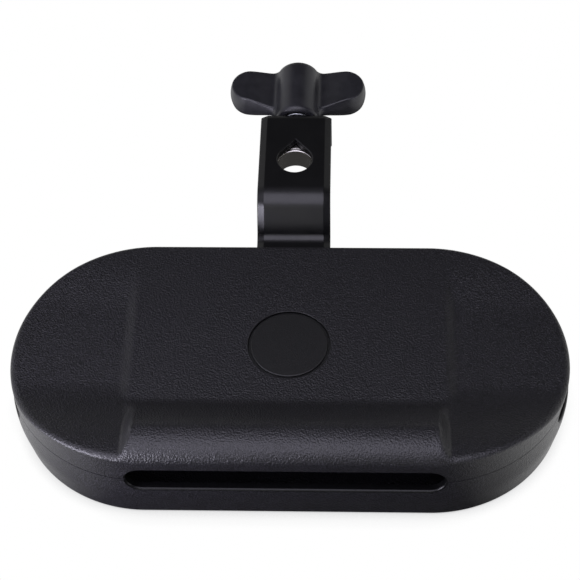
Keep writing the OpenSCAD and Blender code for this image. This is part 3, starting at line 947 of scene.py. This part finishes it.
def strap_section(width):
    """The strap's cross-section as (across, out): a broad soft facet outside, an eased edge inside."""
    half, t = width / 2, STRAP_T / 2
    edge = STRAP_INNER_EDGE
    lean = math.radians(STRAP_FACET_DEG)
    points = []
    for a in np.radians(np.linspace(-90, 0, STRAP_EDGE_POINTS)):
        points.append((half - edge + edge * math.cos(a), -t + edge + edge * math.sin(a)))
    facet_low = t - STRAP_FACET * math.tan(lean) + edge * math.tan(lean)
    for a in np.linspace(0, math.pi / 2 - lean, STRAP_EDGE_POINTS):
        points.append((half - edge * (1 - math.cos(a)), facet_low - edge * (1 - math.sin(a))))
    for a in np.linspace(lean, 0, STRAP_FACET_POINTS):
        across = half - STRAP_FACET - edge / 2 + edge * a / lean
        points.append((across, t - edge / 2 * math.tan(lean) * (a / lean) ** 2))
    mirrored = [(-across, out) for across, out in points[::-1]]
    return np.array(points + mirrored)


def teardrop_outline(r, half_deg):
    """A circle with a pointed end towards +Y, that plug can grow."""
    half = math.radians(half_deg)
    angles = np.linspace(math.pi - half, 2 * math.pi + half, TEARDROP_POINTS)

    def grown(growth):
        size = r + growth
        u = np.concatenate([[0.0], size * np.cos(angles)])
        v = np.concatenate([[size / math.sin(half)], size * np.sin(angles)])
        return u, v

    return grown


def through_rows(low, high):
    """Rows for a hole through a sheet from low to high, with a small lip on both faces."""
    rows = lip_rows(HOLE_LIP, SMALL_LIP_RINGS)
    down = [(high - depth, growth) for depth, growth in rows]
    up = [(low + depth, growth) for depth, growth in rows[::-1]]
    return [(high + OVER, rows[0][1])] + down + up + [(low - OVER, rows[0][1])]


def strap():
    """One bent sheet, with the rod's teardrop hole, the bolt's hole and the two screw holes."""
    line = strap_line()
    total = line[-1][3]
    rings = []
    for y, z, heading, run in line:
        section = strap_section(STRAP_FOOT_W + (STRAP_END_W - STRAP_FOOT_W) * run / total)
        across, out = section.T
        rings.append(
            np.stack([across, y - out * math.sin(heading), z + out * math.cos(heading)], axis=1)
        )
    whole = [list(range(len(rings[0])))]
    piece = solid("strap_bracket", *skin(rings, whole, whole), COAT)
    rod = plug(
        teardrop_outline(ROD_HOLE_D / 2, ROD_NOTCH_DEG / 2),
        through_rows(PLATE_TOP - STRAP_T, PLATE_TOP),
        upright(0, ROD_Y),
    )
    shank = plug(
        round_outline(SHANK_D / 2 + SHANK_CLEAR, SHANK_HOLE_POINTS),
        through_rows(FLANGE_BACK_Y - STRAP_T, FLANGE_BACK_Y),
        lambda u, v, level: (u, level, BOLT_Z + v),
    )
    low, high = FOOT_TOP - STRAP_T - OVER, FOOT_TOP + OVER
    screws = [post(p, BRACKET_SCREW_D + 2 * SCREW_CLEAR, low, high) for p in BRACKET_PLACES]
    combine(piece, [rod, shank] + screws, "DIFFERENCE", COAT)
    dress(piece, "block", "mounting_bracket")


# The forged eye bolt and the moulded grip, each a skin on a distance function


def surface_net(distance, low, high, step):
    """A closed skin on the zero level of a distance function: one point per crossed cell."""
    pulls = 5
    reach = 0.9 * step
    tiny = step / 50
    least_slope = 0.05
    axes = [np.arange(lo, hi + step, step) for lo, hi in zip(low, high)]
    inside = distance(*np.meshgrid(*axes, indexing="ij")) < 0
    cells = [n - 1 for n in inside.shape]
    corner = [
        inside[i : cells[0] + i, j : cells[1] + j, k : cells[2] + k]
        for i in (0, 1)
        for j in (0, 1)
        for k in (0, 1)
    ]
    count = sum(c.astype(np.int8) for c in corner)
    crossed = (count > 0) & (count < len(corner))
    index = np.full(crossed.shape, -1)
    index[crossed] = np.arange(crossed.sum())
    centre = np.array(low) + (np.argwhere(crossed) + 0.5) * step
    points = centre.copy()
    for _ in range(pulls):
        value = distance(*points.T)
        slope = np.stack(
            [
                (distance(*(points + shift).T) - distance(*(points - shift).T)) / (2 * tiny)
                for shift in np.eye(3) * tiny
            ],
            axis=1,
        )
        size = np.maximum((slope * slope).sum(1), least_slope)
        points = points - (value / size)[:, None] * slope
        points = np.clip(points, centre - reach, centre + reach)
    faces = []
    for axis in range(3):
        edge = inside != np.roll(inside, -1, axis)
        trim = [slice(1, -1)] * 3
        trim[axis] = slice(0, -1)
        where = np.argwhere(edge[tuple(trim)])
        where += [0 if k == axis else 1 for k in range(3)]
        others = [k for k in range(3) if k != axis]
        quad = []
        for du, dv in ((0, 0), (1, 0), (1, 1), (0, 1)):
            q = where.copy()
            q[:, others[0]] -= du
            q[:, others[1]] -= dv
            quad.append(index[tuple(q.T)])
        faces.append(np.stack(quad, axis=1))
    return points, np.concatenate(faces)


def from_net(name, distance, low, high, step, origin, material):
    """A piece from the skin on a distance function, moved to its place."""
    points, faces = surface_net(distance, low, high, step)
    return solid(name, points + np.array(origin), faces.tolist(), material)


def smooth_join(a, b, width):
    """The union of two distances, with a fillet about this wide."""
    h = np.clip(0.5 + 0.5 * (b - a) / width, 0, 1)
    return b + (a - b) * h - width * h * (1 - h)


def round_meet(a, b, r):
    """The part inside both distances, with an edge rounded to r."""
    a, b = a + r, b + r
    return np.minimum(np.maximum(a, b), 0) + np.hypot(np.maximum(a, 0), np.maximum(b, 0)) - r


def eye_bolt_distance(x, y, z):
    """The eye is centred on the origin, with its shank along +Y."""
    middle = EYE_BORE_D / 2 + EYE_BAND / 2
    outer = middle + EYE_BAND / 2
    radius = np.hypot(x, y)
    disc = round_meet(radius - outer, np.abs(z) - EYE_H / 2, EYE_ROUND)
    ring = round_meet(disc, EYE_BORE_D / 2 - radius, EYE_ROUND / 3)
    around = np.hypot(x, z)
    end = SHANK_END_Y - ROD_Y
    phase = np.mod(y / THREAD_PITCH - np.arctan2(z, x) / (2 * math.pi), 1)
    flank = (1 + 2 * THREAD_FLAT_SHARE) * np.abs(2 * phase - 1) - THREAD_FLAT_SHARE
    tooth = np.clip(flank, 0, 1)
    started = np.clip((y - outer - THREAD_START) / THREAD_START, 0, 1)
    shank = around - SHANK_D / 2 + THREAD_DEPTH * tooth * started
    tip = (around + y - end - SHANK_D / 2 + SHANK_TIP) / math.sqrt(2)
    shank = np.maximum(np.maximum(shank, tip), np.maximum(y - end, middle - y))
    body = smooth_join(ring, shank, EYE_NECK)
    return np.maximum(body, EYE_BORE_D / 2 - radius)


def capsule(x, y, a, ra, b, rb):
    """Distance to the hull of two circles in a plane."""
    length = math.hypot(b[0] - a[0], b[1] - a[1])
    ux, uy = (b[0] - a[0]) / length, (b[1] - a[1]) / length
    along = (x - a[0]) * ux + (y - a[1]) * uy
    across = np.abs((y - a[1]) * ux - (x - a[0]) * uy)
    lean = (ra - rb) / length
    level = math.sqrt(1 - lean * lean)
    share = level * across + lean * along - ra
    before = along * level - across * lean < 0
    after = along * level - across * lean > length * level
    near = np.hypot(along, across) - ra
    far = np.hypot(along - length, across) - rb
    return np.where(before, near, np.where(after, far, share))


def wing_distance(x, y, z):
    """One wing for x > 0: its plan from above, met by its thickness and a slight belly."""
    tip = (WING_SPAN / 2 - WING_TIP_R, WING_FRONT + WING_TIP_R)
    front_root = (WING_ROOT_X, WING_FRONT / 2 + WING_ROOT_R)
    rear_root = (WING_ROOT_X, BOSS_L - BOSS_ROUND / 4 - WING_ROOT_R)
    front = capsule(x, y, front_root, WING_ROOT_R, tip, WING_TIP_R)
    rear = capsule(x, y, rear_root, WING_ROOT_R, tip, WING_TIP_R)
    share = (x - WING_ROOT_X) / (tip[0] - WING_ROOT_X)
    between = np.maximum(
        np.maximum(
            front_root[1] + (tip[1] - front_root[1]) * share - y,
            y - rear_root[1] - (tip[1] - rear_root[1]) * share,
        ),
        np.maximum(WING_ROOT_X - x, x - tip[0]),
    )
    plan = np.minimum(np.minimum(front, rear), between)
    thicken_end = tip[0] + WING_THICKEN_PAST
    grown = smooth((x - WING_THICKEN_X) / (thicken_end - WING_THICKEN_X))
    half = (WING_ROOT_T + (WING_TIP_T - WING_ROOT_T) * grown) / 2
    belly = WING_BELLY * (z / half) ** 2
    return round_meet(plan + belly, np.abs(z) - half, WING_CREASE)


def grip_distance(x, y, z):
    """The grip from its front face, which is at y = 0, with its axis along +Y."""
    around = np.hypot(x, z)
    rounding = np.where(y > BOSS_L / 2, BOSS_ROUND, BOSS_ROUND / 2)
    boss = round_meet(around - BOSS_D / 2, np.abs(y - BOSS_L / 2) - BOSS_L / 2, rounding)
    body = smooth_join(boss, wing_distance(np.abs(x), y, z), BOSS_FILLET)
    mouth = np.maximum(around - MOUTH_D / 2, y - WASHER_T)
    flats = np.maximum(np.abs(x) * math.sin(math.pi / 3) + np.abs(z) / 2, np.abs(z))
    seat_end = WASHER_T + INSERT_L
    seat = np.maximum(flats - INSERT_AF / 2, y - seat_end)
    cavity = np.maximum(around - SHANK_D / 2 - SHANK_CLEAR, y - seat_end - CLAMP_TRAVEL - OVER)
    hollow = np.minimum(mouth, np.minimum(seat, cavity))
    return np.maximum(body, -hollow)


def eye_bolt():
    """The forged ring with its threaded shank."""
    reach = EYE_BORE_D / 2 + EYE_BAND + EYE_MARGIN
    low = (-reach, -reach, -EYE_H / 2 - EYE_MARGIN)
    high = (reach, SHANK_END_Y - ROD_Y + EYE_MARGIN, EYE_H / 2 + EYE_MARGIN)
    step = EYE_CELL
    place = (0, ROD_Y, BOLT_Z)
    piece = from_net("forged_eye_bolt", eye_bolt_distance, low, high, step, place, CHROMED)
    dress(piece, "eye", "eye_bolt", EYE_SHARP_DEG)


def wing_grip():
    """The moulded boss with its two wings, hollow for the insert and the bolt."""
    low = (-WING_SPAN / 2 - GRIP_MARGIN, -GRIP_MARGIN, -BOSS_D / 2 - GRIP_MARGIN)
    high = (WING_SPAN / 2 + GRIP_MARGIN, BOSS_L + GRIP_MARGIN, BOSS_D / 2 + GRIP_MARGIN)
    step = GRIP_CELL
    place = (0, NUT_Y, BOLT_Z)
    piece = from_net("wing_grip_moulding", grip_distance, low, high, step, place, GRIP_SKIN)
    dress(piece, "wing_nut", "wing_grip", GRIP_SHARP_DEG)


# The pieces that keep their CAD mesh


def finish_node(name, material, ease):
    """A carried CAD node takes a finish, and has its edges eased where they catch the light."""
    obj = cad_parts[name]
    if not obj.material_slots:
        obj.data.materials.append(material)
    for item in obj.material_slots:
        item.link = "OBJECT"
        item.material = material
    weld = obj.modifiers.new("weld", "WELD")
    weld.merge_threshold = WELD_GAP * MM
    bevel = obj.modifiers.new("ease", "BEVEL")
    bevel.width = ease * MM
    bevel.segments = EASE_SEGMENTS
    bevel.limit_method = "ANGLE"
    bevel.angle_limit = math.radians(EASE_FROM_DEG)
    bevel.harden_normals = True


def fasteners():
    """The insert, the washers, the screws and the nuts."""
    finish_node("wing_insert", NICKEL, INSERT_EASE)
    finish_node("flange_washer", ZINC, FLANGE_WASHER_EASE)
    for i in range(1, len(SHELL_PLACES) + 1):
        finish_node(f"shell_screw_{i}", ZINC, SCREW_EASE)
    for i in range(1, len(BRACKET_PLACES) + 1):
        finish_node(f"bracket_screw_{i}", ZINC, SCREW_EASE)
        finish_node(f"bracket_washer_{i}", ZINC, BRACKET_WASHER_EASE)
        finish_node(f"bracket_nut_{i}", ZINC, NUT_EASE)


# The studio, whose lengths are in metres

FLOOR_R = 8.0
FLOOR_POINTS = 64
# The contact shadow: how far the floor feels the object, and how sheltered it is where it turns white
SHADE_REACH = 0.014
SHADE_SAMPLES = 8
SHADE_END = 0.6
# Gloss sees painted shade on the floor, in front of the block and under the clamp: there the floor is
# darker in reflections only. Each pair says where a patch of painted shade has faded out and where it is
# full.
FRONT_SHADE_X = (0.122, 0.068)
FRONT_SHADE_Y = (-0.02, -0.045)
CLAMP_SHADE_X = (0.06, 0.035)
CLAMP_SHADE_Y = (0.02, 0.045)
# How bright the floor stays to gloss inside the painted shade
PAINTED_SHADE_LEVEL = 0.06
# Gloss sees bright parts of the room, by direction. Each pair says where a part has faded out and
# where it is full.
SIDES_OUT = (0.75, 0.92)
SIDES_TOP = (0.36, 0.2)
REAR_BACK = (0.2, 0.5)
REAR_TOP = (0.45, 0.25)
REAR_FOOT = (-0.4, 0.4)
SHOULDER_OUT = (0.38, 0.52)
SHOULDER_BACK = (0.2, 0.45)
SHOULDER_TOP = (0.75, 0.62)
REAR_GLOW = 0.16
SHOULDER_GLOW = 0.6
ROOM_GLOW = 0.09
# The photograph's viewpoint, found from the body's outline; its lens and sensor are in millimetres
CAMERA_PLACE = (0.02761, -0.41142, 0.60642)
CAMERA_RIGHT = (0.9992, 0.0283, -0.0268)
CAMERA_BACK = (0.0385, -0.6077, 0.7932)
CAMERA_LENS = 117.93
CAMERA_SENSOR = 36.0
WHITE = "#ffffff"
COOL = "#efecff"


def band(tree, *steps):
    """A soft mask: the product of (value, where it is 0, where it is 1)."""
    mask = 1.0
    for value, off, on in steps:
        ramp = add(tree, "ShaderNodeMapRange", {"Value": value, "From Min": off, "From Max": on})
        part = ramp.outputs["Result"]
        mask = add(tree, "ShaderNodeMath", {0: mask, 1: part}, operation="MULTIPLY").outputs[0]
    return mask


def white_paper():
    """The sweep's paper: diffuse for light, and for the camera and gloss a white with a soft contact
    shadow. Gloss also sees painted shade on it, in front of the block and under the clamp, which darkens
    its reflection."""
    material, tree, place = finish("white_paper_sweep")
    path = add(tree, "ShaderNodeLightPath").outputs
    seen = add(
        tree, "ShaderNodeMath", {0: path["Is Camera Ray"], 1: path["Is Glossy Ray"]}, operation="MAXIMUM",
    )
    seen = add(
        tree, "ShaderNodeMath", {0: seen.outputs[0], 1: path["Is Transmission Ray"]}, operation="MAXIMUM",
    )
    shelter = add(
        tree, "ShaderNodeAmbientOcclusion", {"Distance": SHADE_REACH}, samples=SHADE_SAMPLES,
    )
    shade = add(tree, "ShaderNodeValToRGB", {"Fac": shelter.outputs["AO"]})
    shade.color_ramp.elements[0].position = 0.0
    shade.color_ramp.elements[0].color = linear("#8c8c90")
    shade.color_ramp.elements[1].position = SHADE_END
    shade.color_ramp.elements[1].color = linear(WHITE)
    spot = add(tree, "ShaderNodeSeparateXYZ", {"Vector": place}).outputs
    aside = add(tree, "ShaderNodeMath", {0: spot["X"]}, operation="ABSOLUTE").outputs[0]
    # Painted shade for gloss only: the floor in front of the block and under the clamp is darkened in
    # reflections
    front = band(tree, (aside, *FRONT_SHADE_X), (spot["Y"], *FRONT_SHADE_Y))
    clamp_shade = band(tree, (aside, *CLAMP_SHADE_X), (spot["Y"], *CLAMP_SHADE_Y))
    painted_shade = add(tree, "ShaderNodeMath", {0: front, 1: clamp_shade}, operation="MAXIMUM").outputs[0]
    painted_shade = add(
        tree, "ShaderNodeMath", {0: painted_shade, 1: path["Is Glossy Ray"]}, operation="MULTIPLY",
    )
    level = add(
        tree, "ShaderNodeMapRange", {"Value": painted_shade.outputs[0], "To Min": 1.0, "To Max": PAINTED_SHADE_LEVEL},
    )
    glow = add(
        tree, "ShaderNodeEmission", {"Color": shade.outputs["Color"], "Strength": level.outputs["Result"]},
    )
    paper = add(tree, "ShaderNodeBsdfDiffuse", {"Color": linear("#ededed")})
    surface = add(
        tree, "ShaderNodeMixShader", {0: seen.outputs[0], 1: paper.outputs[0], 2: glow.outputs[0]},
    )
    add(tree, "ShaderNodeOutputMaterial", {"Surface": surface.outputs[0]})
    return material


def pale_floor():
    """A round sheet of white paper under the object."""
    angles = np.arange(FLOOR_POINTS) * 2 * math.pi / FLOOR_POINTS
    rim = [(FLOOR_R * math.cos(a), FLOOR_R * math.sin(a), 0.0) for a in angles]
    mesh = bpy.data.meshes.new("floor")
    mesh.from_pydata(rim, [], [list(range(FLOOR_POINTS))])
    mesh.materials.append(white_paper())
    floor = bpy.data.objects.new("floor", mesh)
    bpy.context.scene.collection.objects.link(floor)


def studio_air():
    """The room: dim as a light, white for the camera, and for gloss dim with bright parts."""
    world = bpy.data.worlds.new("studio")
    world.use_nodes = True
    tree = world.node_tree
    tree.nodes.clear()
    path = add(tree, "ShaderNodeLightPath").outputs
    view = add(tree, "ShaderNodeTexCoord").outputs["Generated"]
    way = add(tree, "ShaderNodeSeparateXYZ", {"Vector": view}).outputs
    aside = add(tree, "ShaderNodeMath", {0: way["X"]}, operation="ABSOLUTE").outputs[0]
    sides = band(tree, (aside, *SIDES_OUT), (way["Z"], *SIDES_TOP))
    rear = band(tree, (way["Y"], *REAR_BACK), (way["Z"], *REAR_TOP), (way["Z"], *REAR_FOOT))
    rear = add(tree, "ShaderNodeMath", {0: rear, 1: REAR_GLOW}, operation="MULTIPLY").outputs[0]
    shoulder = band(tree, (aside, *SHOULDER_OUT), (way["Y"], *SHOULDER_BACK), (way["Z"], *SHOULDER_TOP))
    shoulder = add(tree, "ShaderNodeMath", {0: shoulder, 1: SHOULDER_GLOW}, operation="MULTIPLY")
    bright = add(tree, "ShaderNodeMath", {0: sides, 1: rear}, operation="MAXIMUM").outputs[0]
    bright = add(
        tree, "ShaderNodeMath", {0: bright, 1: shoulder.outputs[0]}, operation="MAXIMUM",
    )
    gloss = add(
        tree, "ShaderNodeMath",
        {0: path["Is Glossy Ray"], 1: path["Is Transmission Ray"]}, operation="MAXIMUM",
    )
    gloss = add(
        tree, "ShaderNodeMath", {0: gloss.outputs[0], 1: bright.outputs[0]}, operation="MULTIPLY",
    )
    seen = add(
        tree, "ShaderNodeMath", {0: gloss.outputs[0], 1: path["Is Camera Ray"]}, operation="MAXIMUM",
    )
    strength = add(
        tree, "ShaderNodeMapRange", {"Value": seen.outputs[0], "To Min": ROOM_GLOW, "To Max": 1.0},
    )
    air = add(
        tree, "ShaderNodeBackground", {"Color": linear(WHITE), "Strength": strength.outputs["Result"]},
    )
    add(tree, "ShaderNodeOutputWorld", {"Surface": air.outputs[0]})
    bpy.context.scene.world = world


def softbox(name, place, aim, size, radiance, colour=WHITE):
    """A rectangular soft lamp; its power follows from the radiance of its face."""
    lamp = bpy.data.lights.new(name, "AREA")
    lamp.shape = "RECTANGLE"
    lamp.size, lamp.size_y = size
    lamp.energy = radiance * math.pi * size[0] * size[1]
    lamp.color = linear(colour)[:3]
    obj = bpy.data.objects.new(name, lamp)
    bpy.context.scene.collection.objects.link(obj)
    direction = Vector(aim) - Vector(place)
    obj.matrix_world = Matrix.Translation(place) @ direction.to_track_quat("-Z", "Y").to_matrix().to_4x4()
    obj.visible_camera = False


def lamps():
    """The soft lamps, and the small strips that draw the lights on the strap and the walls."""
    softbox(
        "near_softbox", place=(-0.035, -0.165, 0.43), aim=(0, -0.048, 0.04), size=(0.55, 0.42),
        radiance=2.75, colour=COOL,
    )
    softbox(
        "overhead_softbox", place=(0.0, 0.115, 0.6), aim=(0, 0.115, 0.0), size=(0.1, 0.4),
        radiance=0.45, colour=COOL,
    )
    softbox(
        "front_card", place=(-0.035, -0.9, 0.325), aim=(0, 0.06, 0.03), size=(0.16, 0.66),
        radiance=1.45,
    )
    softbox(
        "left_strip", place=(-0.196, -0.15, 0.062), aim=(-0.013, 0.066, 0.03), size=(0.19, 0.11),
        radiance=13.0, colour=COOL,
    )
    softbox(
        "left_top_softbox", place=(-0.6, 0.0, 0.5), aim=(0, 0, 0.03), size=(0.4, 0.4),
        radiance=0.8, colour=COOL,
    )
    softbox(
        "right_strip", place=(0.5, -0.2, 0.08), aim=(0, 0, 0.03), size=(0.25, 0.12),
        radiance=2.5, colour=COOL,
    )


def camera():
    """The photograph's viewpoint."""
    right = Vector(CAMERA_RIGHT).normalized()
    back = Vector(CAMERA_BACK).normalized()
    up = back.cross(right).normalized()
    right = up.cross(back)
    data = bpy.data.cameras.new("camera")
    data.lens = CAMERA_LENS
    data.sensor_width = CAMERA_SENSOR
    obj = bpy.data.objects.new("camera", data)
    turn = Matrix((right, up, back)).transposed().to_4x4()
    obj.matrix_world = Matrix.Translation(CAMERA_PLACE) @ turn
    bpy.context.scene.collection.objects.link(obj)
    bpy.context.scene.camera = obj


camera()
bpy.context.scene.view_settings.view_transform = "Standard"
pale_floor()
studio_air()
lamps()

upper_shell()
lower_shell()
badge_disc()
strap()
eye_bolt()
wing_grip()
fasteners()
